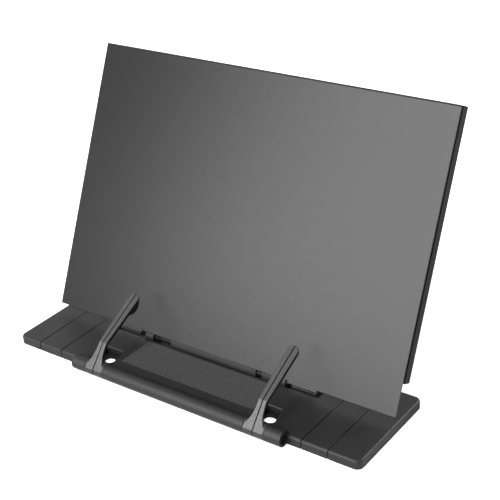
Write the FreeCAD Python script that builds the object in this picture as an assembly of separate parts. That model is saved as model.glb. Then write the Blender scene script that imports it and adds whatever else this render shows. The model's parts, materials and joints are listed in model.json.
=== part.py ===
import FreeCAD, Part
import math
import os

from FreeCAD import Placement, Rotation, Vector

# Tabletop music stand, millimetres. X runs right, Y runs back, Z runs up.
# The origin is on the desk, under the middle of the base's footprint.

# Base
base_width = 341.5
base_depth = 94.3
base_height = 7.6
base_corner_radius = 5.5
base_edge_radius = 2.2
foot_proud = 0.8            # the feet lift the base this far off the desk
cover_wall = 1.8
recess_wall = 1.4           # wall and floor left round each recess in the cover
base_plate_thickness = 1.6
plate_gap = 0.2             # between the bottom plate and the cover's skirt

# Decorative splits across the top and the front and rear edges
split_width = 0.9
split_depth = 0.8
left_split_places = (-146.3, -121.5)
right_split_places = (120.6, 143.6)

# Front bar with the lever hubs
bar_radius = 6.3
bar_ahead = 3.6             # axis ahead of the base's front edge
bar_valley_radius = 6.0     # hollow between the bar and the base top
bar_left = -101.0
bar_right = 108.0
bar_end_rounding = 1.6
left_hub_start = -85.7
left_hub_end = -67.5
right_hub_start = 74.0
right_hub_end = 93.0
hub_side_gap = 0.2
hub_clearance = 0.45        # between a hub and the base behind it
half_gap = 0.8              # between the two levers of one arm

# Shafts, springs and plugs inside the front bar
shaft_radius = 2.0
shaft_running_gap = 0.05
shaft_reach = 8.0           # length held in the middle bar
plug_radius = 4.4
plug_length = 3.0
plug_fit_gap = 0.05
hub_spring_wire = 0.7
hub_spring_radius = 3.3     # to the middle of the wire
hub_spring_turns = 6
hub_spring_pitch = 0.66     # the turns lie against each other
hub_pocket_radius = 4.3
hub_pocket_end_gap = 0.4
washer_radius = 3.6
washer_thickness = 0.6

# Levers
lever_thickness = 2.8
lever_front_offset = 5.9    # lever's front face from the hub axis
lever_lower_angle = 49.5
lever_upper_angle = 26.8
lever_lower_length = 21.8   # from the foot of the hub's perpendicular to the elbow
lever_upper_length = 51.8
lever_elbow_width = 7.7
lever_tip_width = 10.1
lever_flare_width = 12.6
lever_flare_height = 8.8    # above the hub axis
lever_root_height = 4.2
lever_rim_radius = 0.5      # rounding of the front face's outline
pad_chord = 14.6
pad_depth = 4.3
pad_tip_distance = 5.2
pad_side_inset = 0.4

# Wells behind the hubs, each with a slot through the bottom plate
well_front = 2.2            # behind the base's front edge
well_back = 25.6
left_well_start = -92.0
left_well_end = -68.3       # at the front, where the well is widest
right_well_start = 73.5
right_well_end = 92.6
well_taper = 5.2            # the right wall slants in by this much towards the back
well_corner_radius = 1.5
well_edge_chamfer = 0.5
left_slot_start = -86.5
left_slot_end = -77.4
right_slot_start = 76.1
right_slot_end = 86.3
slot_front = 12.6
slot_back = 21.4

# Ribbed mat
mat_left = -67.0
mat_right = 67.0
mat_front = 13.5
mat_back = 49.3
mat_thickness = 1.3
mat_fit_gap = 0.15
mat_below_top = 0.1
rib_pitch = 2.15
rib_depth = 0.5
rib_flank = 0.55            # sloping side of a groove, seen from above
groove_floor = 0.45
mat_border = 0.5            # flat strip before the first and after the last rib

# Hinge
hinge_back = 57.0           # axis behind the base's front edge
hinge_rise = 9.2            # axis above the base's underside
barrel_radius = 4.7
barrel_left = -44.0
barrel_right = 43.0
trough_front = 51.9
trough_back = 63.0
trough_floor = 4.0          # above the base's underside
trough_end_gap = 0.3        # beyond the left knuckle
knuckle_left_start = -71.8
knuckle_left_end = -63.5
knuckle_right_start = 57.0
knuckle_right_end = 71.3
knuckle_screw_gap = 1.0     # between a screw's tip and the hinge pin
knuckle_hole_wall = 0.9     # between a screw's hole and the hinge pin
thin_head_gap = 0.1         # between a knuckle screw's head and the bottom plate
pin_radius = 2.0
pin_running_gap = 0.05
pin_end_inset = 0.6         # the pin stops inside the left knuckle
pin_head_radius = 3.2
pin_head_length = 1.4
pin_head_gap = 0.2
pin_head_room = 0.8
hinge_spring_wire = 0.9
hinge_spring_radius = 3.4
hinge_spring_pitch = 1.75
hinge_spring_turns = 3
friction_block_length = 8.0
friction_block_radius = 4.3
spring_washer_radius = 3.5
spring_washer_thickness = 0.8
spring_washer_count = 5
hinge_side_gap = 0.3

# Panel
panel_width = 340.0
panel_height = 234.6
sheet_thickness = 1.0
panel_lean = 24.4
panel_setback = 52.7        # sheet's bottom edge behind the base's front edge
panel_rise = 13.95          # sheet's bottom edge above the base's underside
panel_corner_radius = 1.0
tab_drop = 1.9              # from the sheet's bottom edge to the top of the lip
tab_lip_length = 1.5        # ahead of the sheet's face
tab_lip_thickness = 1.7
tab_lip_rounding = 0.8
tab_lip_inset = 4.9         # relief at the left end of each lip
left_tab = (-103.2, -75.9)
right_tab = (73.9, 101.3)
backing_thickness = 11.9
backing_start = 25.4        # above the sheet's bottom edge
backing_wall = 1.8
backing_edge_radius = 1.2
shadow_gap_depth = 1.3      # step between the sheet and the backing's side
shadow_gap_height = 2.6
backing_rib_thickness = 1.4
backing_rib_spacing = 56.0
backing_rib_relief = 1.2    # ribs stop short of the sheet
leaf_thickness = 2.0
leaf_top = 66.0
leaf_fit_gap = 0.3
leaf_corner_radius = 4.0
boss_radius = 3.6
boss_hole_radius = 1.45
boss_spread = 30.0
boss_rows = (46.0, 58.0)

# Recesses in the base top below the tabs
tab_slot_front = 51.6
tab_slot_back = 61.0
tab_slot_depth = 3.0
tab_slot_end_gap = 1.1
tab_slot_corner_radius = 1.5

# Screws, ballast and feet
screw_radius = 1.1
screw_head_radius = 2.3
screw_head_height = 1.0
screw_bite = 0.05           # clearance round a screw in its hole
screw_head_sunk = 0.1
screw_tip_gap = 0.3
screw_cross_width = 0.8
screw_cross_length = 2.8
screw_cross_depth = 0.6
base_screw_length = 4.6
base_boss_radius = 3.0
base_screw_inset = 7.0      # corner screws, in from each edge of the base
rear_screw_spacing = 98.0   # between the screws along the rear edge
ballast_thickness = 2.6
ballast_side = 14.0         # in from each end of the base
ballast_front = 12.0
ballast_back = 7.5          # in from the base's rear edge
ballast_clearance = 0.6
foot_radius = 6.5
foot_seat_depth = 0.8
foot_fit_gap = 0.1
foot_side_inset = 22.5      # corner feet, in from the ends of the base
foot_edge_inset = 12.0      # and in from its front and rear edges

# Places that follow from the sizes
front_y = -base_depth / 2
base_bottom = foot_proud
base_top = base_bottom + base_height
plate_top = base_bottom + base_plate_thickness
bar_y = front_y - bar_ahead
bar_z = base_bottom + bar_radius
hinge_y = front_y + hinge_back
hinge_z = base_bottom + hinge_rise
sheet_y = front_y + panel_setback
sheet_z = base_bottom + panel_rise
lean = math.radians(panel_lean)
screw_x = base_width / 2 - base_screw_inset
screw_y = base_depth / 2 - base_screw_inset
base_screw_places = ((-screw_x, -screw_y), (screw_x, -screw_y), (-screw_x, screw_y),
                     (screw_x, screw_y), (-rear_screw_spacing, screw_y), (0, screw_y),
                     (rear_screw_spacing, screw_y))
foot_x = base_width / 2 - foot_side_inset
foot_y = base_depth / 2 - foot_edge_inset
foot_places = ((-foot_x, -foot_y), (foot_x, -foot_y), (-foot_x, foot_y), (foot_x, foot_y), (0, 0))
left_seam = (left_hub_start + left_hub_end) / 2
right_seam = (right_hub_start + right_hub_end) / 2
hub_spans = ((left_hub_start, left_hub_end), (right_hub_start, right_hub_end))
well_spans = ((left_well_start, left_well_end), (right_well_start, right_well_end))
hub_spring_length = hub_spring_turns * hub_spring_pitch + hub_spring_wire
hub_pocket_depth = hub_spring_length + hub_pocket_end_gap
# Hinge axis in the panel's own directions: up the sheet, and back from its face
hinge_up = (hinge_y - sheet_y) * math.sin(lean) + (hinge_z - sheet_z) * math.cos(lean)
hinge_in = (hinge_y - sheet_y) * math.cos(lean) - (hinge_z - sheet_z) * math.sin(lean)


def block(x0, x1, y0, y1, z0, z1):
    return Part.makeBox(x1 - x0, y1 - y0, z1 - z0, Vector(x0, y0, z0))


def rod(radius, x0, x1, y, z):
    return Part.makeCylinder(radius, x1 - x0, Vector(x0, y, z), Vector(1, 0, 0))


def post(radius, x, y, z0, z1):
    return Part.makeCylinder(radius, z1 - z0, Vector(x, y, z0), Vector(0, 0, 1))


def prism(points, along, length):
    """Closed outline of straight edges, pushed along a direction."""
    wire = Part.makePolygon([Vector(*p) for p in points] + [Vector(*points[0])])
    return Part.Face(wire).extrude(Vector(*along) * length)


def upright_edges(shape, direction):
    """Straight edges of a shape that run along a direction."""
    found = []
    for edge in shape.Edges:
        if isinstance(edge.Curve, Part.Line) and abs(edge.Curve.Direction.dot(direction)) > 0.999:
            found.append(edge)
    return found


def rounded_block(x0, x1, y0, y1, z0, z1, corner):
    solid = block(x0, x1, y0, y1, z0, z1)
    return solid.makeFillet(corner, upright_edges(solid, Vector(0, 0, 1)))


def round_slot(x0, x1, y0, y1, z0, z1):
    """Upright slot with half-round ends."""
    radius = min(x1 - x0, y1 - y0) / 2 - 0.01
    return rounded_block(x0, x1, y0, y1, z0, z1, radius)


def coil(radius, wire, pitch, turns, x, y, z):
    """Round-wire coil along X, starting at x."""
    helix = Part.makeHelix(pitch, pitch * turns, radius)
    section = Part.Wire([Part.makeCircle(wire / 2, Vector(radius, 0, 0), Vector(0, 1, 0))])
    solid = Part.Wire(helix.Edges).makePipeShell([section], True, True)
    solid.Placement = Placement(Vector(x + wire / 2, y, z), Rotation(Vector(0, 1, 0), 90))
    return solid


def to_panel(shape):
    """Move a shape from the panel's own directions into the stand."""
    moved = shape.copy()
    turn = Rotation(Vector(1, 0, 0), -panel_lean)
    moved.Placement = Placement(Vector(0, sheet_y, sheet_z), turn).multiply(moved.Placement)
    return moved


def base_outer():
    """Outside of the base: rounded block with a rounded upper edge."""
    solid = rounded_block(-base_width / 2, base_width / 2, front_y, -front_y,
                          base_bottom, base_top, base_corner_radius)
    rim = [e for e in solid.Edges if abs(e.BoundBox.ZMin - base_top) < 1e-6]
    return solid.makeFillet(base_edge_radius, rim)


def bar_profile(x0, x1):
    """Front bar with the hollow that runs into the base top."""
    rise = base_top + bar_valley_radius - bar_z
    run = math.sqrt((bar_radius + bar_valley_radius) ** 2 - rise ** 2)
    valley_y = bar_y + run
    valley_z = base_top + bar_valley_radius
    share = bar_radius / (bar_radius + bar_valley_radius)
    crest = Vector(x0, bar_y + run * share, bar_z + rise * share)
    landing = Vector(x0, valley_y, base_top)
    half = math.atan2(crest.y - valley_y, valley_z - crest.z) / 2
    middle = Vector(x0, valley_y + bar_valley_radius * math.sin(half),
                    valley_z - bar_valley_radius * math.cos(half))
    under = Vector(x0, valley_y, bar_z - bar_radius)
    foot = Vector(x0, bar_y, bar_z - bar_radius)
    nose = Vector(x0, bar_y - bar_radius, bar_z)
    edges = [Part.Arc(crest, middle, landing).toShape(),
             Part.makeLine(landing, under),
             Part.makeLine(under, foot),
             Part.Arc(foot, nose, crest).toShape()]
    return Part.Face(Part.Wire(edges)).extrude(Vector(x1 - x0, 0, 0))


def rounded_bar_end(solid, x):
    """Round the outer end of a bar piece."""
    rim = [e for e in solid.Edges
           if abs(e.BoundBox.XMin - x) < 1e-6 and abs(e.BoundBox.XMax - x) < 1e-6
           and isinstance(e.Curve, Part.Circle) and e.BoundBox.YMin < front_y - bar_ahead]
    return solid.makeFillet(bar_end_rounding, rim)


def bar_pieces():
    left_boss = rounded_bar_end(bar_profile(bar_left, left_hub_start), bar_left)
    middle = bar_profile(left_hub_end, right_hub_start)
    right_boss = bar_profile(right_hub_end, bar_right)
    return [left_boss, middle, right_boss]


def split_tool(x):
    """Shallow cut over the front edge, the top and the rear edge."""
    deep = split_depth
    inner = block(-base_width, base_width, front_y + deep, -front_y - deep,
                  base_bottom - 1, base_top - deep)
    inner = inner.makeFillet(base_edge_radius, [
        e for e in inner.Edges
        if abs(e.BoundBox.ZMin - (base_top - deep)) < 1e-6 and e.BoundBox.XLength > base_width])
    slab = block(x - split_width / 2, x + split_width / 2, front_y - 1, -front_y + 1,
                 base_bottom - 1, base_top + 1)
    return slab.cut(inner)


def well_space(start, end, grow, z0, z1):
    """Well behind a hub; its right wall slants in towards the back."""
    y0 = front_y + well_front - grow
    y1 = front_y + well_back + grow
    points = [(start - grow, y0, z0), (end + grow, y0, z0),
              (end - well_taper + grow, y1, z0), (start - grow, y1, z0)]
    solid = prism(points, (0, 0, 1), z1 - z0)
    return solid.makeFillet(well_corner_radius + grow, upright_edges(solid, Vector(0, 0, 1)))


def well_chamfer(start, end):
    """Tool that breaks a well's upper edge."""
    solid = well_space(start, end, well_edge_chamfer, base_top - well_edge_chamfer, base_top + 1)
    low = base_top - well_edge_chamfer
    rim = [e for e in solid.Edges if abs(e.BoundBox.ZMax - low) < 1e-6]
    return solid.makeChamfer(well_edge_chamfer - 0.01, rim)


def mat_recess(grow):
    return block(mat_left - mat_fit_gap - grow, mat_right + mat_fit_gap + grow,
                 front_y + mat_front - mat_fit_gap - grow, front_y + mat_back + mat_fit_gap + grow,
                 base_top - mat_thickness - mat_below_top - grow, base_top + 1)


def trough_box(grow):
    pin_end = knuckle_right_end + pin_head_gap + pin_head_length
    return block(knuckle_left_start - trough_end_gap - grow, pin_end + pin_head_room + grow,
                 front_y + trough_front - grow, front_y + trough_back + grow,
                 base_bottom + trough_floor - grow, base_top + 1)


def tab_recess(tab, grow):
    return rounded_block(tab[0] - tab_slot_end_gap - grow, tab[1] + tab_slot_end_gap + grow,
                         front_y + tab_slot_front - grow, front_y + tab_slot_back + grow,
                         base_top - tab_slot_depth - grow, base_top + 1,
                         tab_slot_corner_radius + grow)


def hub_room(span, grow):
    return rod(bar_radius + hub_clearance + grow, span[0] - grow, span[1] + grow, bar_y, bar_z)


def base_bosses():
    """Posts under the cover that take the screws of the bottom plate."""
    return [post(base_boss_radius, x, y, plate_top, base_top - cover_wall + 0.1)
            for x, y in base_screw_places]


def cover_recesses(grow):
    recesses = [mat_recess(grow), trough_box(grow)]
    recesses += [tab_recess(tab, grow) for tab in (left_tab, right_tab)]
    recesses += [hub_room(span, grow) for span in hub_spans]
    recesses += [well_space(start, end, grow, base_bottom - 1, base_top + 1)
                 for start, end in well_spans]
    return recesses


def cover_cavity():
    """Hollow inside the cover, with a wall left round every recess."""
    side = base_width / 2 - cover_wall
    inner_corner = base_corner_radius - cover_wall
    cavity = rounded_block(-side, side, front_y + cover_wall, -front_y - cover_wall,
                           plate_top, base_top - cover_wall, inner_corner)
    for keep in cover_recesses(recess_wall) + base_bosses():
        cavity = cavity.cut(keep)
    return cavity


def plate_space():
    """Room for the bottom plate inside the cover's skirt."""
    side = base_width / 2 - cover_wall
    return rounded_block(-side, side, front_y + cover_wall, -front_y - cover_wall,
                         base_bottom - 1, plate_top, base_corner_radius - cover_wall)


def front_wall_keep():
    """Solid root of the bar that stays in front of the bottom plate."""
    depth = hub_clearance + bar_radius - bar_ahead + recess_wall
    return block(left_hub_start - recess_wall, right_hub_end + recess_wall,
                 front_y, front_y + depth, base_bottom - 1, plate_top)


def base_cover():
    cover = base_outer().fuse(bar_pieces()).removeSplitter()
    cover = cover.cut(plate_space().cut(front_wall_keep()))
    cover = cover.cut(cover_cavity())
    cover = cover.cut(cover_recesses(0) + [well_chamfer(start, end) for start, end in well_spans])
    places = left_split_places + right_split_places
    cover = cover.cut([split_tool(x) for x in places])
    bores = []
    for x0, x1 in ((bar_left - 1, left_hub_start + 1), (left_hub_end - 1, left_hub_end + shaft_reach),
                   (right_hub_start - shaft_reach, right_hub_start + 1),
                   (right_hub_end - 1, bar_right + 1)):
        bores.append(rod(shaft_radius + shaft_running_gap, x0, x1, bar_y, bar_z))
    bores.append(rod(plug_radius + plug_fit_gap, bar_left - 1, bar_left + plug_length, bar_y, bar_z))
    bores.append(rod(plug_radius + plug_fit_gap, bar_right - plug_length, bar_right + 1, bar_y, bar_z))
    for x, y in base_screw_places:
        top = base_bottom + base_screw_length + screw_bite
        bores.append(post(screw_radius + screw_bite, x, y, base_bottom - 1, top))
    for x in knuckle_screw_places():
        bores.append(post(screw_radius + screw_bite, x, hinge_y, base_bottom,
                          base_bottom + trough_floor + 1))
    return cover.cut(bores)


def knuckle_screw_places():
    left_middle = (knuckle_left_start + knuckle_left_end) / 2
    right_middle = (knuckle_right_start + knuckle_right_end) / 2
    return [left_middle, right_middle]


def base_plate():
    """Bottom plate with seats for the feet, screw holes and the two slots."""
    side = base_width / 2 - cover_wall - plate_gap
    corner = base_corner_radius - cover_wall
    plate = rounded_block(-side, side, front_y + cover_wall + plate_gap,
                          -front_y - cover_wall - plate_gap, base_bottom, plate_top, corner)
    depth = hub_clearance + bar_radius - bar_ahead + recess_wall + plate_gap
    notch = block(left_hub_start - recess_wall - plate_gap, right_hub_end + recess_wall + plate_gap,
                  front_y - 1, front_y + depth, base_bottom - 1, plate_top + 1)
    plate = plate.cut(notch)
    for x, y in foot_places:
        plate = plate.cut(post(foot_radius + foot_fit_gap, x, y,
                               base_bottom - 1, base_bottom + foot_seat_depth))
    for x, y in base_screw_places:
        plate = plate.cut(post(screw_head_radius + screw_bite, x, y,
                               base_bottom - 1, base_bottom + screw_head_height))
        plate = plate.cut(post(screw_radius + screw_bite, x, y, base_bottom, plate_top + 1))
    for x0, x1 in ((left_slot_start, left_slot_end), (right_slot_start, right_slot_end)):
        plate = plate.cut(round_slot(x0, x1, front_y + slot_front, front_y + slot_back,
                                     base_bottom - 1, plate_top + 1))
    return plate


def ballast_plate():
    """Steel plate that keeps the stand from tipping back."""
    plate = block(-base_width / 2 + ballast_side, base_width / 2 - ballast_side,
                  front_y + ballast_front, -front_y - ballast_back,
                  plate_top, plate_top + ballast_thickness)
    grow = recess_wall + ballast_clearance
    window = trough_box(grow)
    window.translate(Vector(0, 0, plate_top - 1 - window.BoundBox.ZMin))
    for keep in cover_recesses(grow) + [window]:
        plate = plate.cut(keep)
    for x, y in base_screw_places:
        plate = plate.cut(post(base_boss_radius + ballast_clearance, x, y,
                               plate_top - 1, base_top))
    return plate


def rubber_feet():
    return Part.makeCompound([post(foot_radius, x, y, 0, base_bottom + foot_seat_depth)
                              for x, y in foot_places])


def screw(x, y, z, length, head_height):
    """Flat-headed screw pointing up, its seat at z, with a crossed recess in the head."""
    head = post(screw_head_radius, x, y, z - head_height, z)
    body = head.fuse(post(screw_radius, x, y, z - head_height / 2, z + length))
    low = z - head_height - 1
    high = z - head_height + screw_cross_depth
    for across, along in ((screw_cross_length, screw_cross_width),
                          (screw_cross_width, screw_cross_length)):
        body = body.cut(block(x - across / 2, x + across / 2, y - along / 2, y + along / 2,
                              low, high))
    return body


def base_screws():
    seat = base_bottom + screw_head_height
    length = base_screw_length - screw_head_height
    return Part.makeCompound([screw(x, y, seat, length, screw_head_height)
                              for x, y in base_screw_places])


def grip_mat():
    """Mat with ribs that run from side to side."""
    top = base_top - mat_below_top
    low = top - rib_depth
    front = front_y + mat_front
    back = front_y + mat_back
    count = int((mat_back - mat_front - 2 * mat_border) / rib_pitch)
    first = (front + back - count * rib_pitch) / 2
    outline = [(mat_left, front, top - mat_thickness), (mat_left, front, top)]
    for i in range(count):
        y = first + i * rib_pitch
        outline.append((mat_left, y, top))
        outline.append((mat_left, y + rib_flank, low))
        outline.append((mat_left, y + rib_flank + groove_floor, low))
        outline.append((mat_left, y + 2 * rib_flank + groove_floor, top))
    outline.append((mat_left, back, top))
    outline.append((mat_left, back, top - mat_thickness))
    return prism(outline, (1, 0, 0), mat_right - mat_left)


def left_arm_shaft():
    return rod(shaft_radius, bar_left + plug_length, left_hub_end + shaft_reach - 0.5, bar_y, bar_z)


def right_arm_shaft():
    return rod(shaft_radius, right_hub_start - shaft_reach + 0.5, bar_right - plug_length,
               bar_y, bar_z)


def left_shaft_plug():
    plug = rod(plug_radius, bar_left, bar_left + plug_length, bar_y, bar_z)
    rim = [e for e in plug.Edges if abs(e.BoundBox.XMax - bar_left) < 1e-6]
    return plug.makeFillet(1.0, rim)


def right_shaft_plug():
    """Dished plug in the flat end of the bar."""
    plug = rod(plug_radius, bar_right - plug_length, bar_right - 0.4, bar_y, bar_z)
    return plug.cut(rod(plug_radius - 1.2, bar_right - 1.4, bar_right, bar_y, bar_z))


def hub_spring(start):
    """Close-wound torsion spring, its turns drawn as rings that touch."""
    turns = []
    for i in range(hub_spring_turns + 1):
        x = start + hub_spring_wire / 2 + i * hub_spring_pitch
        turns.append(Part.makeTorus(hub_spring_radius, hub_spring_wire / 2,
                                    Vector(x, bar_y, bar_z), Vector(1, 0, 0)))
    return turns[0].fuse(turns[1:]).removeSplitter()


def hub_washers():
    """One thin washer between the two levers of each arm."""
    rings = []
    for seam in (left_seam, right_seam):
        disc = rod(washer_radius, seam - washer_thickness / 2, seam + washer_thickness / 2,
                   bar_y, bar_z)
        rings.append(disc.cut(rod(shaft_radius + shaft_running_gap, seam - 1, seam + 1,
                                  bar_y, bar_z)))
    return Part.makeCompound(rings)


def lever_front_line():
    """Foot, elbow and tip of the lever's front face, in the Y-Z plane."""
    low = math.radians(lever_lower_angle)
    high = math.radians(lever_upper_angle)
    foot = Vector(0, bar_y - lever_front_offset * math.sin(low),
                  bar_z + lever_front_offset * math.cos(low))
    elbow = foot + Vector(0, math.cos(low), math.sin(low)) * lever_lower_length
    tip = elbow + Vector(0, math.cos(high), math.sin(high)) * lever_upper_length
    return foot, elbow, tip


def lever_back_line():
    """The same three points on the lever's back face."""
    foot, elbow, tip = lever_front_line()
    low = math.radians(lever_lower_angle)
    high = math.radians(lever_upper_angle)
    bend = (low - high) / 2
    middle = (low + high) / 2
    back_foot = foot + Vector(0, math.sin(low), -math.cos(low)) * lever_thickness
    back_tip = tip + Vector(0, math.sin(high), -math.cos(high)) * lever_thickness
    corner = Vector(0, math.sin(middle), -math.cos(middle)) * (lever_thickness / math.cos(bend))
    return back_foot, elbow + corner, back_tip


def hub_flat(width):
    """Space ahead of the lever's front face, which takes a flat off the hub."""
    foot = lever_front_line()[0]
    low = math.radians(lever_lower_angle)
    along = Vector(0, math.cos(low), math.sin(low)) * bar_radius
    ahead = Vector(0, -math.sin(low), math.cos(low)) * bar_radius
    corners = [foot - along, foot + along, foot + along + ahead, foot - along + ahead]
    return prism([(0, p.y, p.z) for p in corners], (1, 0, 0), width)


def front_outline(half):
    """Edges round a lever's front face, apart from the seam and the cross lines."""
    foot, elbow, tip = lever_front_line()
    found = []
    for edge in half.Edges:
        points = [edge.valueAt(edge.FirstParameter), edge.valueAt(edge.LastParameter),
                  edge.valueAt((edge.FirstParameter + edge.LastParameter) / 2)]
        ahead = [min(abs(off_line(p, foot, lever_lower_angle)),
                     abs(off_line(p, elbow, lever_upper_angle))) for p in points]
        runs_up = abs(points[0].y - points[1].y) > 1e-3
        if max(ahead) < 1e-3 and runs_up and edge.BoundBox.XMax > half_gap:
            found.append(edge)
    return found


def off_line(point, start, angle):
    """Distance of a point ahead of a slanting line in the Y-Z plane."""
    slant = math.radians(angle)
    return (point - start).dot(Vector(0, -math.sin(slant), math.cos(slant)))


def half_plan(hub_width):
    """Right half of an arm seen from above, from the seam outwards."""
    foot, elbow, tip = lever_front_line()
    slope = math.tan(math.radians(lever_lower_angle))
    root_y = foot.y + (lever_root_height + bar_z - foot.z) / slope
    flare_y = foot.y + (lever_flare_height + bar_z - foot.z) / slope
    half_tip = lever_tip_width / 2
    tip_reach = half_tip * math.cos(math.radians(lever_upper_angle))
    seam = half_gap / 2
    root = Vector(hub_width / 2, root_y, 0)
    flare = Vector(lever_flare_width / 2, flare_y, 0)
    waist = Vector(lever_elbow_width / 2, elbow.y, 0)
    end = Vector(half_tip, tip.y - tip_reach, 0)
    start = Vector(root.x, bar_y - bar_radius, 0)
    taper = Part.BSplineCurve()
    taper.interpolate([root, flare, waist], Tangents=[Vector(-0.6, 0.8, 0), flare - root, end - waist],
                      TangentFlags=[False, True, True])
    centre = Vector(0, tip.y - tip_reach, 0)
    oval = Part.Ellipse(end, centre + Vector(0, tip_reach, 0), centre)
    seam_share = math.sqrt(1 - (seam / half_tip) ** 2)
    crown = centre + Vector(seam, tip_reach * seam_share, 0)
    mid = centre + Vector(half_tip * math.sqrt(0.5), tip_reach * math.sqrt(0.5), 0)
    rounding = oval.toShape().Edges[0].Curve
    first = rounding.parameter(end)
    last = rounding.parameter(crown)
    arc = Part.ArcOfEllipse(oval, min(first, last), max(first, last))
    edges = [Part.makeLine(start, root), taper.toShape(), Part.makeLine(waist, end), arc.toShape(),
             Part.makeLine(crown, Vector(seam, start.y, 0)),
             Part.makeLine(Vector(seam, start.y, 0), start)]
    return Part.Face(Part.Wire(Part.__sortEdges__(edges)))


def lever(span, mirrored):
    """One lever: hub with its spring pocket, and its half of the arm."""
    hub_width = span[1] - span[0] - 2 * hub_side_gap
    front = lever_front_line()
    back = lever_back_line()
    tip_z = front[2].z
    side = prism([(0, p.y, p.z) for p in front + back[::-1]], (1, 0, 0), hub_width)
    rims = [e for e in upright_edges(side, Vector(1, 0, 0))
            if e.BoundBox.ZMax > tip_z - lever_thickness - 1]
    side = side.makeFillet(lever_thickness / 2 - 0.15, rims)
    blade = side.common(half_plan(hub_width).extrude(Vector(0, 0, tip_z + lever_thickness)))
    hub = rod(bar_radius, half_gap / 2, hub_width / 2, bar_y, bar_z)
    half = blade.fuse(hub.cut(hub_flat(hub_width))).removeSplitter()
    half = half.makeFillet(lever_rim_radius, front_outline(half))
    half = half.cut(rod(shaft_radius + shaft_running_gap, -1, hub_width, bar_y, bar_z))
    half = half.cut(rod(hub_pocket_radius, hub_width / 2 - hub_pocket_depth, hub_width,
                        bar_y, bar_z))
    if mirrored:
        half = half.mirror(Vector(0, 0, 0), Vector(1, 0, 0))
    half.translate(Vector((span[0] + span[1]) / 2, 0, 0))
    return half


def lever_pad(x0, x1):
    """Half-moon rubber pad behind the tip of an inner lever."""
    back_tip = lever_back_line()[2]
    high = math.radians(lever_upper_angle)
    along = Vector(0, math.cos(high), math.sin(high))
    away = Vector(0, math.sin(high), -math.cos(high))
    upper = back_tip - along * pad_tip_distance
    lower = upper - along * pad_chord
    crown = (upper + lower) * 0.5 + away * pad_depth
    for point in (upper, lower, crown):
        point.x = x0
    edges = [Part.makeLine(lower, upper), Part.Arc(upper, crown, lower).toShape()]
    return Part.Face(Part.Wire(edges)).extrude(Vector(x1 - x0, 0, 0))


def hinge_knuckle(x0, x1):
    """Block on the cover that holds one end of the hinge pin."""
    lug = block(x0, x1, hinge_y - barrel_radius, hinge_y + barrel_radius,
                base_bottom + trough_floor, hinge_z)
    lug = lug.fuse(rod(barrel_radius, x0, x1, hinge_y, hinge_z)).removeSplitter()
    lug = lug.cut(rod(pin_radius + pin_running_gap, x0 - 1, x1 + 1, hinge_y, hinge_z))
    middle = (x0 + x1) / 2
    return lug.cut(post(screw_radius + screw_bite, middle, hinge_y, base_bottom,
                        hinge_z - pin_radius - knuckle_hole_wall))


def knuckle_screws():
    """Screws with thin heads that fit between the trough and the bottom plate."""
    seat = base_bottom + trough_floor - recess_wall
    length = hinge_z - pin_radius - knuckle_screw_gap - seat
    head_height = seat - plate_top - thin_head_gap
    return Part.makeCompound([screw(x, hinge_y, seat, length, head_height)
                              for x in knuckle_screw_places()])


def hinge_pin():
    """Pin through the barrel and both knuckles, its head beyond the right one."""
    shoulder = knuckle_right_end + pin_head_gap
    shank = rod(pin_radius, knuckle_left_start + pin_end_inset, shoulder, hinge_y, hinge_z)
    head = rod(pin_head_radius, shoulder, shoulder + pin_head_length, hinge_y, hinge_z)
    return shank.fuse(head).removeSplitter()


def hinge_spring():
    """Short open coil round the pin, against the left knuckle."""
    return coil(hinge_spring_radius, hinge_spring_wire, hinge_spring_pitch, hinge_spring_turns,
                knuckle_left_end + hinge_side_gap, hinge_y, hinge_z)


def friction_block():
    """Squared block on the pin, beside the right knuckle."""
    x1 = knuckle_right_start - 0.05
    x0 = x1 - friction_block_length
    solid = block(x0, x1, hinge_y - friction_block_radius, hinge_y + friction_block_radius,
                  base_bottom + trough_floor + 0.2, hinge_z)
    solid = solid.fuse(rod(friction_block_radius, x0, x1, hinge_y, hinge_z)).removeSplitter()
    return solid.cut(rod(pin_radius + pin_running_gap, x0 - 1, x1 + 1, hinge_y, hinge_z))


def spring_washers():
    """Stack of cupped washers that presses the barrel."""
    rings = []
    x_end = knuckle_right_start - friction_block_length - 0.1
    pitch = (x_end - barrel_right - hinge_side_gap) / spring_washer_count
    for i in range(spring_washer_count):
        x = barrel_right + hinge_side_gap + i * pitch
        disc = rod(spring_washer_radius, x, x + spring_washer_thickness, hinge_y, hinge_z)
        rings.append(disc.cut(rod(pin_radius + pin_running_gap, x - 1, x + 2, hinge_y, hinge_z)))
    return Part.makeCompound(rings)


def face_sheet():
    """Metal sheet with two tabs at its bottom edge."""
    half = panel_width / 2
    sheet = block(-half, half, 0, sheet_thickness, 0, panel_height)
    corners = upright_edges(sheet, Vector(0, 1, 0))
    sheet = sheet.makeFillet(panel_corner_radius, corners)
    for start, end in (left_tab, right_tab):
        sheet = sheet.fuse(tab_with_lip(start, end))
    return to_panel(sheet.removeSplitter())


def tab_with_lip(start, end):
    """Tab below the sheet's edge; its round-nosed lip lies level."""
    tab = block(start, end, 0, sheet_thickness, -tab_drop, tab_drop)
    lip = block(start + tab_lip_inset, end, -tab_lip_length, sheet_thickness, -tab_lip_thickness, 0)
    nose = [e for e in upright_edges(lip, Vector(1, 0, 0)) if e.BoundBox.YMax < 0]
    lip = lip.makeFillet(tab_lip_rounding, nose)
    lip.Placement = Placement(Vector(0, 0, -tab_drop), Rotation(Vector(1, 0, 0), panel_lean))
    return tab.fuse(lip)


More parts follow.
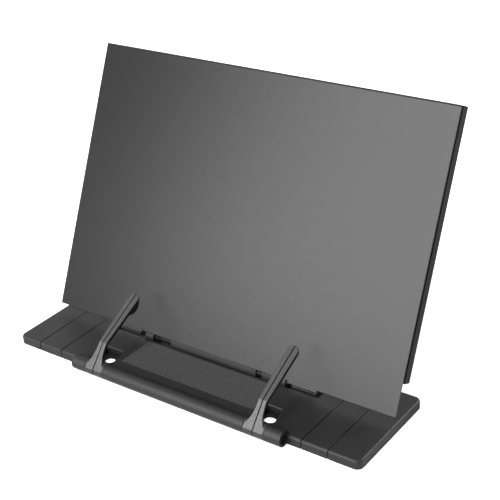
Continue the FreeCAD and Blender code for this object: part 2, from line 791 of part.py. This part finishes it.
def backing_outer():
    half = panel_width / 2
    back = sheet_thickness + backing_thickness
    solid = block(-half, half, sheet_thickness + shadow_gap_height, back,
                  backing_start, panel_height)
    rims = [e for e in solid.Edges if abs(e.BoundBox.YMin - back) < 1e-6]
    solid = solid.makeFillet(backing_edge_radius, rims)
    neck = block(-half + shadow_gap_depth, half - shadow_gap_depth, sheet_thickness,
                 sheet_thickness + shadow_gap_height + 0.5,
                 backing_start + shadow_gap_depth, panel_height - shadow_gap_depth)
    return solid.fuse(neck).removeSplitter()


def backing_shell():
    """Moulded tray behind the sheet, with ribs and four screw posts."""
    half = panel_width / 2
    back = sheet_thickness + backing_thickness
    wall = backing_wall + shadow_gap_depth
    shell = backing_outer()
    cavity = block(-half + wall, half - wall, sheet_thickness - 1, back - backing_wall,
                   backing_start + wall, panel_height - wall)
    shell = shell.cut(cavity)
    rib_front = sheet_thickness + leaf_thickness + backing_rib_relief
    ribs = []
    count = int((panel_width / 2 - wall) / backing_rib_spacing)
    for i in range(-count, count + 1):
        x = i * backing_rib_spacing
        ribs.append(block(x - backing_rib_thickness / 2, x + backing_rib_thickness / 2,
                          rib_front, back - backing_wall + 0.1,
                          backing_start + wall - 0.1, panel_height - wall + 0.1))
    rows = int((panel_height - backing_start - 2 * wall) / backing_rib_spacing)
    for j in range(1, rows + 1):
        z = backing_start + wall + j * backing_rib_spacing
        ribs.append(block(-half + wall - 0.1, half - wall + 0.1, rib_front,
                          back - backing_wall + 0.1,
                          z - backing_rib_thickness / 2, z + backing_rib_thickness / 2))
    shell = shell.fuse(ribs)
    posts = [panel_post(boss_radius, x, z, sheet_thickness + leaf_thickness, back - backing_wall + 0.1)
             for x, z in boss_places()]
    shell = shell.fuse(posts).removeSplitter()
    notch = block(barrel_left - leaf_fit_gap, barrel_right + leaf_fit_gap, 0,
                  sheet_thickness + leaf_thickness + leaf_fit_gap,
                  backing_start - 1, backing_start + wall + 1)
    shell = shell.cut(notch)
    holes = []
    for x, z in boss_places():
        holes.append(panel_post(boss_hole_radius, x, z, 0, back + 1))
        holes.append(panel_post(screw_head_radius + screw_bite, x, z,
                                back - screw_head_height, back + 1))
    return to_panel(shell.cut(holes))


def boss_places():
    middle = (barrel_left + barrel_right) / 2
    return [(middle + side * boss_spread, row) for side in (-1, 1) for row in boss_rows]


def panel_post(radius, x, z, y0, y1):
    """Round post square to the panel."""
    return Part.makeCylinder(radius, y1 - y0, Vector(x, y0, z), Vector(0, 1, 0))


def hinge_bracket():
    """Leaf behind the sheet with the hinge barrel on its lower edge."""
    leaf = block(barrel_left, barrel_right, sheet_thickness, sheet_thickness + leaf_thickness,
                 hinge_up, leaf_top)
    top_corners = [e for e in upright_edges(leaf, Vector(0, 1, 0))
                   if e.BoundBox.ZMin > leaf_top - 1e-6]
    leaf = leaf.makeFillet(leaf_corner_radius, top_corners)
    barrel = rod(barrel_radius, barrel_left, barrel_right, hinge_in, hinge_up)
    bracket = leaf.fuse(barrel).removeSplitter()
    bracket = bracket.cut(rod(pin_radius + pin_running_gap, barrel_left - 1, barrel_right + 1,
                              hinge_in, hinge_up))
    for x, z in boss_places():
        bracket = bracket.cut(panel_post(screw_radius + screw_bite, x, z, sheet_thickness - 1,
                                         sheet_thickness + leaf_thickness + 1))
    return to_panel(bracket)


def bracket_screws():
    """Screws from the back of the tray into the leaf."""
    back = sheet_thickness + backing_thickness
    reach = back - screw_head_height - sheet_thickness - screw_tip_gap
    screws = []
    for x, z in boss_places():
        piece = screw(0, 0, 0, reach, screw_head_height - screw_head_sunk)
        piece.rotate(Vector(0, 0, 0), Vector(1, 0, 0), 90)
        piece.translate(Vector(x, back - screw_head_height, z))
        screws.append(to_panel(piece))
    return Part.makeCompound(screws)


def write(name, shape):
    solids = shape.Solids
    volume = sum(s.Volume for s in solids)
    print(name, len(solids), "solids", round(volume, 1), "valid" if shape.isValid() else "NOT VALID")
    if len(solids) == 1:
        shape = solids[0]
    shape.exportStep("parts/" + name + ".step")


def main():
    os.makedirs("parts", exist_ok=True)
    left_span, right_span = hub_spans
    left_inner_edge = left_seam + half_gap / 2 + pad_side_inset
    right_inner_edge = right_seam - half_gap / 2 - pad_side_inset
    pad_width = lever_tip_width / 2 - half_gap / 2 - 2 * pad_side_inset
    write("base_cover", base_cover())
    write("base_plate", base_plate())
    write("ballast_plate", ballast_plate())
    write("rubber_feet", rubber_feet())
    write("base_screws", base_screws())
    write("grip_mat", grip_mat())
    write("left_arm_shaft", left_arm_shaft())
    write("right_arm_shaft", right_arm_shaft())
    write("left_shaft_plug", left_shaft_plug())
    write("right_shaft_plug", right_shaft_plug())
    write("left_outer_spring", hub_spring(left_span[0] + hub_side_gap))
    write("left_inner_spring", hub_spring(left_span[1] - hub_side_gap - hub_spring_length))
    write("right_inner_spring", hub_spring(right_span[0] + hub_side_gap))
    write("right_outer_spring", hub_spring(right_span[1] - hub_side_gap - hub_spring_length))
    write("hub_washers", hub_washers())
    write("left_outer_lever", lever(left_span, True))
    write("left_inner_lever", lever(left_span, False))
    write("right_inner_lever", lever(right_span, True))
    write("right_outer_lever", lever(right_span, False))
    write("left_lever_pad", lever_pad(left_inner_edge, left_inner_edge + pad_width))
    write("right_lever_pad", lever_pad(right_inner_edge - pad_width, right_inner_edge))
    write("left_knuckle", hinge_knuckle(knuckle_left_start, knuckle_left_end))
    write("right_knuckle", hinge_knuckle(knuckle_right_start, knuckle_right_end))
    write("knuckle_screws", knuckle_screws())
    write("hinge_pin", hinge_pin())
    write("hinge_spring", hinge_spring())
    write("spring_washers", spring_washers())
    write("friction_block", friction_block())
    write("hinge_bracket", hinge_bracket())
    write("bracket_screws", bracket_screws())
    write("backing_shell", backing_shell())
    write("face_sheet", face_sheet())


main()
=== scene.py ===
import json
import math

import bpy
from mathutils import Matrix, Quaternion, Vector

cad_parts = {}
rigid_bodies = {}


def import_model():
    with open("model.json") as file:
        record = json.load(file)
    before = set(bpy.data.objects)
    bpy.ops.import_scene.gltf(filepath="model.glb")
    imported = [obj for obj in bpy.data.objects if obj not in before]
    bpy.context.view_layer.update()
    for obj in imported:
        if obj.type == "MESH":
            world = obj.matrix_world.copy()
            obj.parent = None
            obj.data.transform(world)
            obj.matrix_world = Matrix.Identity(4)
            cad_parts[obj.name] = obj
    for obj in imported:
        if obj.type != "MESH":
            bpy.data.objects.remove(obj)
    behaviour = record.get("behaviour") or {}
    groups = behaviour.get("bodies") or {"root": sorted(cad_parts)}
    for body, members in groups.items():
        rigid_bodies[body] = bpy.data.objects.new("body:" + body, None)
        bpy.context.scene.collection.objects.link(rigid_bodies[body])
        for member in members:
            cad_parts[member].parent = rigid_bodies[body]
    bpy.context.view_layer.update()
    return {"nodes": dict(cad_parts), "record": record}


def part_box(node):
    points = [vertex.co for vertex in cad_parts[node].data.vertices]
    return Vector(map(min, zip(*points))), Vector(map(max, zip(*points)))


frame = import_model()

nodes = frame["nodes"]
print("frame loaded:", len(nodes), "nodes")


# Small helpers for shader trees

mixUnder = 6         # a Mix node's colour sockets go by number, because their names repeat
mixOver = 7
mixResult = 2


def addNode(tree, kind, x, y, **settings):       # sets the node's own properties, or else its inputs
    node = tree.nodes.new(kind)
    node.location = (x, y)
    for key, value in settings.items():
        if hasattr(node, key):
            setattr(node, key, value)
        else:
            node.inputs[key.replace("_", " ")].default_value = value
    return node


def mathNode(tree, operation, x, y, *values, clamp=False):
    node = addNode(tree, "ShaderNodeMath", x, y, operation=operation, use_clamp=clamp)
    for socket, value in zip(node.inputs, values):
        if isinstance(value, (int, float)):
            socket.default_value = value
        else:
            tree.links.new(value, socket)
    return node.outputs[0]


def addPattern(tree, kind, x, y, size, **settings):       # a texture with spots of about this size
    where = addNode(tree, "ShaderNodeTexCoord", x - 400, y)
    scale = mathNode(tree, "DIVIDE", x - 200, y - 150, 1.0, size)
    texture = addNode(tree, kind, x, y, **settings)
    tree.links.new(where.outputs["Object"], texture.inputs["Vector"])
    tree.links.new(scale, texture.inputs["Scale"])
    return texture.outputs


def newGroup(name, inputs, outputs):       # inputs give the sockets' values, outputs their kinds
    tree = bpy.data.node_groups.new(name, "ShaderNodeTree")
    for label, value in inputs.items():
        socket = tree.interface.new_socket(name=label, in_out="INPUT", socket_type="NodeSocketFloat")
        socket.default_value = value
    for label, kind in outputs.items():
        tree.interface.new_socket(name=label, in_out="OUTPUT", socket_type="NodeSocket" + kind)
    given = addNode(tree, "NodeGroupInput", -1500, 0)
    result = addNode(tree, "NodeGroupOutput", 900, 0)
    return tree, given.outputs, result.inputs


def useGroup(tree, group, x, y, **values):
    return addNode(tree, "ShaderNodeGroup", x, y, node_tree=group, **values).outputs


def mixInto(tree, under, colour, mask, x, y):       # lays a colour over another where the mask is
    mix = addNode(tree, "ShaderNodeMix", x, y, data_type="RGBA")
    mix.inputs[mixOver].default_value = (*colour, 1.0)
    tree.links.new(under, mix.inputs[mixUnder])
    tree.links.new(mask, mix.inputs["Factor"])
    return mix.outputs[mixResult]


# Shared effects, each built once

grainLook = {"detail": 4.0, "roughness": 0.6, "pitShare": 0.5, "toneShare": 0.6,
             "blotchDetail": 3.0, "blotchRoughness": 0.55,
             "middle": 0.5}       # the value that noise lies around


def buildMouldGrain(look):       # fine grain of a moulded, painted or ground face, with blotches of tone
    tree, given, result = newGroup(
        "mouldGrain",
        {"Grain Size": 0.0004, "Blotch Size": 0.02, "Blotch Contrast": 0.1},
        {"Height": "Float", "Tone": "Float"})
    grain = addPattern(tree, "ShaderNodeTexNoise", -800, 400, given["Grain Size"],
                       Detail=look["detail"], Roughness=look["roughness"])["Fac"]
    pits = addPattern(tree, "ShaderNodeTexVoronoi", -800, 0, given["Grain Size"])["Distance"]
    blotch = addPattern(tree, "ShaderNodeTexNoise", -800, -400, given["Blotch Size"],
                        Detail=look["blotchDetail"], Roughness=look["blotchRoughness"])["Fac"]
    height = mathNode(tree, "MULTIPLY_ADD", -400, 200, pits, look["pitShare"], grain)
    slow = mathNode(tree, "SUBTRACT", -400, -250, blotch, look["middle"])
    fine = mathNode(tree, "SUBTRACT", -400, -400, grain, look["middle"])
    both = mathNode(tree, "MULTIPLY_ADD", -200, -300, fine, look["toneShare"], slow)
    tone = mathNode(tree, "MULTIPLY_ADD", 0, -250, both, given["Blotch Contrast"], 1.0)
    tree.links.new(height, result["Height"])
    tree.links.new(tone, result["Tone"])
    return tree


edgeWearAndShadeLook = {"samples": 6, "gain": 7.0, "detail": 4.0, "roughness": 0.65}


def buildEdgeWearAndShade(look):       # mask along sharp edges, broken up in patches: worn edges, and painted shade of rounded edges on the levers
    tree, given, result = newGroup(
        "edgeWear",
        {"Width": 0.0006, "Amount": 0.5, "Patch Size": 0.01},
        {"Mask": "Float", "Normal": "Vector"})
    soft = addNode(tree, "ShaderNodeBevel", -800, 200, samples=look["samples"])
    tree.links.new(given["Width"], soft.inputs["Radius"])
    plain = addNode(tree, "ShaderNodeNewGeometry", -800, -50)
    dot = addNode(tree, "ShaderNodeVectorMath", -550, 100, operation="DOT_PRODUCT")
    tree.links.new(soft.outputs["Normal"], dot.inputs[0])
    tree.links.new(plain.outputs["Normal"], dot.inputs[1])
    edge = mathNode(tree, "SUBTRACT", -350, 100, 1.0, dot.outputs["Value"])
    strong = mathNode(tree, "MULTIPLY", -150, 100, edge, look["gain"])
    patches = addPattern(tree, "ShaderNodeTexNoise", -550, -300, given["Patch Size"],
                         Detail=look["detail"], Roughness=look["roughness"])["Fac"]
    broken = mathNode(tree, "MULTIPLY", 50, 0, strong, patches)
    mask = mathNode(tree, "MULTIPLY", 300, 0, broken, given["Amount"], clamp=True)
    tree.links.new(mask, result["Mask"])
    tree.links.new(soft.outputs["Normal"], result["Normal"])
    return tree


dustLook = {"steepness": 3.0, "detail": 6.0, "roughness": 0.7, "colour": (0.3, 0.29, 0.27)}


def buildSettledDust(look):       # mask of thin dust on surfaces that face up
    tree, given, result = newGroup(
        "settledDust", {"Amount": 0.1, "Patch Size": 0.03}, {"Mask": "Float"})
    turned = addNode(tree, "ShaderNodeNewGeometry", -900, 100)
    split = addNode(tree, "ShaderNodeSeparateXYZ", -700, 100)
    tree.links.new(turned.outputs["Normal"], split.inputs[0])
    upward = mathNode(tree, "MAXIMUM", -500, 100, split.outputs["Z"], 0.0)
    level = mathNode(tree, "POWER", -300, 100, upward, look["steepness"])
    patches = addPattern(tree, "ShaderNodeTexNoise", -450, -200, given["Patch Size"],
                         Detail=look["detail"], Roughness=look["roughness"])["Fac"]
    lying = mathNode(tree, "MULTIPLY", -100, 0, level, patches)
    mask = mathNode(tree, "MULTIPLY", 100, 0, lying, given["Amount"], clamp=True)
    tree.links.new(mask, result["Mask"])
    return tree


facingLook = {"sideways": 0.55, "upward": 0.56}       # where the masks start on the normal's X and Z


def buildFacingShade(look):       # masks of the faces that look sideways, and of those that don't look up, for painted shade on the levers
    tree, given, result = newGroup(
        "facing", {"Sharpness": 6.0}, {"Sideways": "Float", "Downward": "Float"})
    where = addNode(tree, "ShaderNodeTexCoord", -900, 0)
    split = addNode(tree, "ShaderNodeSeparateXYZ", -700, 0)
    tree.links.new(where.outputs["Normal"], split.inputs[0])
    sideways = mathNode(tree, "ABSOLUTE", -450, 100, split.outputs["X"])
    pastSide = mathNode(tree, "SUBTRACT", -250, 100, sideways, look["sideways"])
    pastLow = mathNode(tree, "SUBTRACT", -250, -100, look["upward"], split.outputs["Z"])
    for past, label, y in ((pastSide, "Sideways", 100), (pastLow, "Downward", -100)):
        mask = mathNode(tree, "MULTIPLY", 0, y, past, given["Sharpness"], clamp=True)
        tree.links.new(mask, result[label])
    return tree


creaseLook = {"samples": 8, "gain": 2.0, "start": -0.5, "colour": (0.002, 0.002, 0.002)}


def buildCreaseShade(look):       # painted shade: mask in corners and hollows, where light is short
    tree, given, result = newGroup("creaseShade", {"Reach": 0.008, "Amount": 1.0}, {"Mask": "Float"})
    hollow = addNode(tree, "ShaderNodeAmbientOcclusion", -700, 0, samples=look["samples"])
    tree.links.new(given["Reach"], hollow.inputs["Distance"])
    closed = mathNode(tree, "SUBTRACT", -450, 0, 1.0, hollow.outputs["AO"])
    deep = mathNode(tree, "MULTIPLY_ADD", -250, 0, closed, look["gain"], look["start"])
    mask = mathNode(tree, "MULTIPLY", 0, 0, deep, given["Amount"], clamp=True)
    tree.links.new(mask, result["Mask"])
    return tree


mouldGrain = buildMouldGrain(grainLook)
edgeWear = buildEdgeWearAndShade(edgeWearAndShadeLook)
settledDust = buildSettledDust(dustLook)
facing = buildFacingShade(facingLook)
creaseShade = buildCreaseShade(creaseLook)
print("shared effects built")


# One dictionary for each finish

# the creases and creaseReach keys set painted shade in corners and hollows
baseMoulding = {"colour": (0.012, 0.012, 0.0125), "edgeWearAndShadeColour": (0.1, 0.1, 0.1),
                "grainSize": 0.0011, "blotchSize": 0.02, "blotchContrast": 0.22,
                "edgeWidth": 0.0005, "edgeWear": 0.25, "dust": 0.02,
                "roughness": 0.44, "roughSpread": 0.3, "bump": 0.4, "specular": 0.28,
                "creases": 0.6, "creaseReach": 0.004}
panelPaint = {"colour": (0.0075, 0.0075, 0.0078), "edgeWearAndShadeColour": (0.03, 0.03, 0.03),
              "grainSize": 0.0008, "blotchSize": 0.004, "blotchContrast": 0.12,
              "edgeWidth": 0.0003, "edgeWear": 0.2,
              "roughness": 0.2, "roughSpread": 0.1, "bump": 0.16, "specular": 0.25,
              "rimWidth": 0.0012, "rimRoughness": 0.6}
trayMoulding = {"colour": (0.013, 0.013, 0.0134), "edgeWearAndShadeColour": (0.07, 0.07, 0.07),
                "grainSize": 0.001, "blotchSize": 0.02, "blotchContrast": 0.2,
                "edgeWidth": 0.0005, "edgeWear": 0.2,
                "roughness": 0.6, "roughSpread": 0.3, "bump": 0.4, "specular": 0.1,
                "creases": 1.0, "creaseReach": 0.008}
# the darker edge colour on the levers is painted shade along their rounded edges
leverTexture = {"colour": (0.035, 0.035, 0.0357), "edgeWearAndShadeColour": (0.012, 0.012, 0.012),
                "grainSize": 0.0009, "blotchSize": 0.006, "blotchContrast": 0.35,
                "edgeWidth": 0.0007, "edgeWear": 1.0,
                "roughness": 0.36, "roughSpread": 0.3, "bump": 0.5, "specular": 0.55,
                # the side and under colours are painted shade on the faces turned sideways and downward
                "sideShadeColour": (0.004, 0.004, 0.004), "underShadeColour": (0.008, 0.008, 0.008)}
matRubber = {"colour": (0.029, 0.029, 0.0298), "edgeWearAndShadeColour": (0.12, 0.12, 0.12),
             "grainSize": 0.0005, "blotchSize": 0.012, "blotchContrast": 0.25,
             "edgeWidth": 0.0002, "edgeWear": 0.2, "dust": 0.05,
             "roughness": 0.75, "roughSpread": 0.2, "bump": 0.3, "specular": 0.3}
softRubber = {"colour": (0.008, 0.008, 0.008), "edgeWearAndShadeColour": (0.03, 0.03, 0.03),
              "grainSize": 0.0004, "blotchSize": 0.006, "blotchContrast": 0.3,
              "edgeWidth": 0.0004, "edgeWear": 0.2, "dust": 0.05,
              "roughness": 0.8, "roughSpread": 0.2, "bump": 0.35, "specular": 0.3}
hingeCasting = {"colour": (0.016, 0.016, 0.0165), "edgeWearAndShadeColour": (0.1, 0.1, 0.1),
                "grainSize": 0.0005, "blotchSize": 0.008, "blotchContrast": 0.25,
                "edgeWidth": 0.0004, "edgeWear": 0.3,
                "roughness": 0.6, "roughSpread": 0.3, "bump": 0.3, "specular": 0.25}
groundSteel = {"colour": (0.42, 0.42, 0.43), "edgeWearAndShadeColour": (0.6, 0.6, 0.6),
               "grainSize": 0.0004, "blotchSize": 0.004, "blotchContrast": 0.3,
               "edgeWidth": 0.0002, "edgeWear": 0.3,
               "roughness": 0.3, "roughSpread": 0.4, "bump": 0.2, "metallic": 1.0}
blackSteel = {"colour": (0.05, 0.05, 0.052), "edgeWearAndShadeColour": (0.3, 0.3, 0.3),
              "grainSize": 0.0004, "blotchSize": 0.004, "blotchContrast": 0.3,
              "edgeWidth": 0.0002, "edgeWear": 0.5,
              "roughness": 0.4, "roughSpread": 0.3, "bump": 0.2, "metallic": 0.8}
bluedSteel = {"colour": (0.02, 0.02, 0.022), "edgeWearAndShadeColour": (0.12, 0.12, 0.12),
              "grainSize": 0.0004, "blotchSize": 0.003, "blotchContrast": 0.3,
              "edgeWidth": 0.0002, "edgeWear": 0.3,
              "roughness": 0.5, "roughSpread": 0.3, "bump": 0.2, "metallic": 0.9}

finishRules = {"edgePatches": 0.4,       # an edge patch's size, as a share of a blotch's
               "bumpDepth": 0.5}         # the grain's depth, as a share of its size


def surfaceColour(tree, look, tone, wornAndShadedEdges):
    tint = addNode(tree, "ShaderNodeMix", -600, 300, data_type="RGBA", blend_type="MULTIPLY")
    tint.inputs["Factor"].default_value = 1.0
    tint.inputs[mixUnder].default_value = (*look["colour"], 1.0)
    tree.links.new(tone, tint.inputs[mixOver])
    # edge colour: real wear on most finishes, painted shade of the rounded edges on the levers
    surface = mixInto(tree, tint.outputs[mixResult], look["edgeWearAndShadeColour"], wornAndShadedEdges, -350, 200)
    if "dust" in look:
        dust = useGroup(tree, settledDust, -900, -450, Amount=look["dust"])
        surface = mixInto(tree, surface, dustLook["colour"], dust["Mask"], -100, 100)
    # painted shade: darker colour on the faces that look sideways and on those that don't look up
    if "sideShadeColour" in look:
        turned = useGroup(tree, facing, -350, 450)
        surface = mixInto(tree, surface, look["underShadeColour"], turned["Downward"], 0, 300)
        surface = mixInto(tree, surface, look["sideShadeColour"], turned["Sideways"], 150, 300)
    # painted shade: near-black in corners and hollows
    if "creases" in look:
        shade = useGroup(tree, creaseShade, 50, 550, Reach=look["creaseReach"], Amount=look["creases"])
        surface = mixInto(tree, surface, creaseLook["colour"], shade["Mask"], 350, 300)
    return surface


def roughenRim(tree, roughness, look):       # the sheet's top edge is duller than its face
    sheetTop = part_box("face_sheet")[1][2]       # the top of its box
    where = addNode(tree, "ShaderNodeTexCoord", -350, -500)
    split = addNode(tree, "ShaderNodeSeparateXYZ", -150, -500)
    tree.links.new(where.outputs["Object"], split.inputs[0])
    rim = mathNode(tree, "GREATER_THAN", 50, -500, split.outputs["Z"], sheetTop - look["rimWidth"])
    return mathNode(tree, "MULTIPLY_ADD", 250, -500, rim, look["rimRoughness"], roughness)


def surfaceRoughness(tree, look, tone):
    shift = mathNode(tree, "SUBTRACT", -350, -150, tone, 1.0)
    roughness = mathNode(tree, "MULTIPLY_ADD", -100, -150, shift, look["roughSpread"],
                         look["roughness"], clamp=True)
    if "rimWidth" in look:
        roughness = roughenRim(tree, roughness, look)
    return roughness


def grainedMaterial(name, look):
    material = bpy.data.materials.new(name)
    material.use_nodes = True
    tree = material.node_tree
    shader = tree.nodes["Principled BSDF"]
    shader.location = (600, 0)
    tree.nodes["Material Output"].location = (900, 0)
    grain = useGroup(tree, mouldGrain, -900, 200, Grain_Size=look["grainSize"],
                     Blotch_Size=look["blotchSize"], Blotch_Contrast=look["blotchContrast"])
    edgeWearAndShadeResult = useGroup(tree, edgeWear, -900, -150, Width=look["edgeWidth"], Amount=look["edgeWear"],
                    Patch_Size=look["blotchSize"] * finishRules["edgePatches"])
    bump = addNode(tree, "ShaderNodeBump", 250, -300, Strength=look["bump"],
                   Distance=look["grainSize"] * finishRules["bumpDepth"])
    tree.links.new(grain["Height"], bump.inputs["Height"])
    tree.links.new(edgeWearAndShadeResult["Normal"], bump.inputs["Normal"])
    tree.links.new(surfaceColour(tree, look, grain["Tone"], edgeWearAndShadeResult["Mask"]), shader.inputs["Base Color"])
    tree.links.new(surfaceRoughness(tree, look, grain["Tone"]), shader.inputs["Roughness"])
    tree.links.new(bump.outputs["Normal"], shader.inputs["Normal"])
    if "metallic" in look:
        shader.inputs["Metallic"].default_value = look["metallic"]
    if "specular" in look:
        shader.inputs["Specular IOR Level"].default_value = look["specular"]
    return material


finishes = {
    "cover_abs": grainedMaterial("baseMoulding", baseMoulding),
    "knuckle_abs": grainedMaterial("knuckleMoulding", baseMoulding),
    "plate_abs": grainedMaterial("plateMoulding", trayMoulding),
    "plug_abs": grainedMaterial("plugMoulding", trayMoulding),
    "backing_abs": grainedMaterial("trayMoulding", trayMoulding),
    "sheet_metal": grainedMaterial("panelPaint", panelPaint),
    "lever_metal": grainedMaterial("leverTexture", leverTexture),
    "mat_rubber": grainedMaterial("matRubber", matRubber),
    "foot_rubber": grainedMaterial("footRubber", softRubber),
    "pad_rubber": grainedMaterial("padRubber", softRubber),
    "hinge_metal": grainedMaterial("hingeCasting", hingeCasting),
    "shaft_steel": grainedMaterial("shaftSteel", groundSteel),
    "spring_steel": grainedMaterial("springWire", groundSteel),
    "ballast_steel": grainedMaterial("ballastSteel", groundSteel),
    "screw_steel": grainedMaterial("blackSteel", blackSteel),
    "blued_steel": grainedMaterial("bluedSteel", bluedSteel),
}
print("finishes built:", len(finishes))

for entry in frame["record"]["subparts"]:
    piece = nodes[entry["node"]]
    piece.data.materials.clear()
    piece.data.materials.append(finishes[entry["material_slot"]])
print("finishes set on", len(nodes), "pieces")


# Camera at the photo's angle

cameraView = {
    "place": (0.51809, -0.62119, 0.52803),
    "right": (0.8133519, 0.57928269, -0.05376105),       # the camera's own axes
    "up": (-0.21920889, 0.39075399, 0.89401274),
    "back": (0.53889345, -0.71536206, 0.44480441),
    "sensor": 36.0,       # millimetres, like the lens
    "lens": 84.04,
    "shiftY": -0.0361,
    "nearest": 0.01,
    "farthest": 50.0,
}


def setCamera(view):
    data = bpy.data.cameras.new("photoCamera")
    data.sensor_width = view["sensor"]
    data.sensor_fit = "HORIZONTAL"
    data.lens = view["lens"]
    data.shift_y = view["shiftY"]
    data.clip_start = view["nearest"]
    data.clip_end = view["farthest"]
    camera = bpy.data.objects.new("photoCamera", data)
    bpy.context.scene.collection.objects.link(camera)
    turn = Matrix((view["right"], view["up"], view["back"])).transposed().to_4x4()
    camera.matrix_world = Matrix.Translation(view["place"]) @ turn
    bpy.context.scene.camera = camera


setCamera(cameraView)
print("camera placed")


# Floor, room and lamps

white = (1.0, 1.0, 1.0, 1.0)
floorLook = {"size": 6.0, "colour": (0.95, 0.95, 0.95, 1.0), "roughness": 0.9, "specular": 0.1,
             "glow": 0.72}       # light of its own, which only the camera sees


def buildFloor(look):
    half = look["size"] / 2
    mesh = bpy.data.meshes.new("floor")
    corners = [(-half, -half, 0), (half, -half, 0), (half, half, 0), (-half, half, 0)]
    mesh.from_pydata(corners, [], [(0, 1, 2, 3)])
    floor = bpy.data.objects.new("floor", mesh)
    bpy.context.scene.collection.objects.link(floor)
    material = bpy.data.materials.new("paleFloor")
    material.use_nodes = True
    tree = material.node_tree
    shader = tree.nodes["Principled BSDF"]
    shader.inputs["Base Color"].default_value = look["colour"]
    shader.inputs["Roughness"].default_value = look["roughness"]
    shader.inputs["Specular IOR Level"].default_value = look["specular"]
    shader.inputs["Emission Color"].default_value = white
    seen = addNode(tree, "ShaderNodeLightPath", -500, -300)
    glow = mathNode(tree, "MULTIPLY", -250, -300, seen.outputs["Is Camera Ray"], look["glow"])
    tree.links.new(glow, shader.inputs["Emission Strength"])
    side = addNode(tree, "ShaderNodeNewGeometry", -500, -600)
    solid = mathNode(tree, "SUBTRACT", -250, -600, 1.0, side.outputs["Backfacing"])
    tree.links.new(solid, shader.inputs["Alpha"])       # from below, the floor lets the view through
    floor.data.materials.append(material)


roomLook = {"seen": 1.0, "light": 0.2}       # how bright the room looks, and how much it lights


def buildWorld(look):
    world = bpy.data.worlds.new("studioRoom")
    bpy.context.scene.world = world
    world.use_nodes = True
    tree = world.node_tree
    back = tree.nodes["Background"]
    path = addNode(tree, "ShaderNodeLightPath", -700, 0).outputs
    direct = mathNode(tree, "MAXIMUM", -450, 0, path["Is Camera Ray"], path["Is Glossy Ray"])
    level = mathNode(tree, "MULTIPLY_ADD", -250, 0, direct, look["seen"] - look["light"], look["light"])
    back.inputs["Color"].default_value = white
    tree.links.new(level, back.inputs["Strength"])


lamps = {
    "keyBox": {"place": (-0.52, -2.82, 1.06), "aim": (0.0, 0.0, 0.08), "roll": -12.0,
               "width": 3.0, "height": 1.7, "watts": 145.0, "passes": "lever"},
    "highBox": {"place": (-0.5, -1.2, 1.65), "aim": (0.0, 0.0, 0.05),
                "width": 0.9, "height": 0.9, "watts": 30.0},
    "sideBox": {"place": (2.4, -0.3, 0.6), "aim": (0.0, 0.0, 0.05),
                "width": 1.0, "height": 1.0, "watts": 2.0},
    "rimBox": {"place": (0.97, 1.4, 0.75), "aim": (0.1, 0.0, 0.05),
               "width": 0.5, "height": 0.5, "watts": 21.0},
}


def letLightPass(lamp, part):       # pieces with this word in their names throw no shadow in this light
    pieces = bpy.data.collections.new(lamp.name + "Passes")
    for piece in bpy.context.scene.objects:
        if piece.type == "MESH" and part in piece.name:
            pieces.objects.link(piece)
    for entry in pieces.collection_objects:
        entry.light_linking.link_state = "EXCLUDE"
    lamp.light_linking.blocker_collection = pieces


def buildLamp(name, look):
    data = bpy.data.lights.new(name, "AREA")
    data.shape = "RECTANGLE"
    data.size = look["width"]
    data.size_y = look["height"]
    data.energy = look["watts"]
    lamp = bpy.data.objects.new(name, data)
    bpy.context.scene.collection.objects.link(lamp)
    lamp.location = look["place"]
    away = Vector(look["place"]) - Vector(look["aim"])
    roll = Quaternion((0, 0, 1), math.radians(look.get("roll", 0.0)))
    lamp.rotation_euler = (away.to_track_quat("Z", "Y") @ roll).to_euler()
    if "passes" in look:
        letLightPass(lamp, look["passes"])


buildFloor(floorLook)
buildWorld(roomLook)
for lampName, lampLook in lamps.items():
    buildLamp(lampName, lampLook)
bpy.context.scene.view_settings.view_transform = "Standard"
print("studio ready:", len(lamps), "lamps")
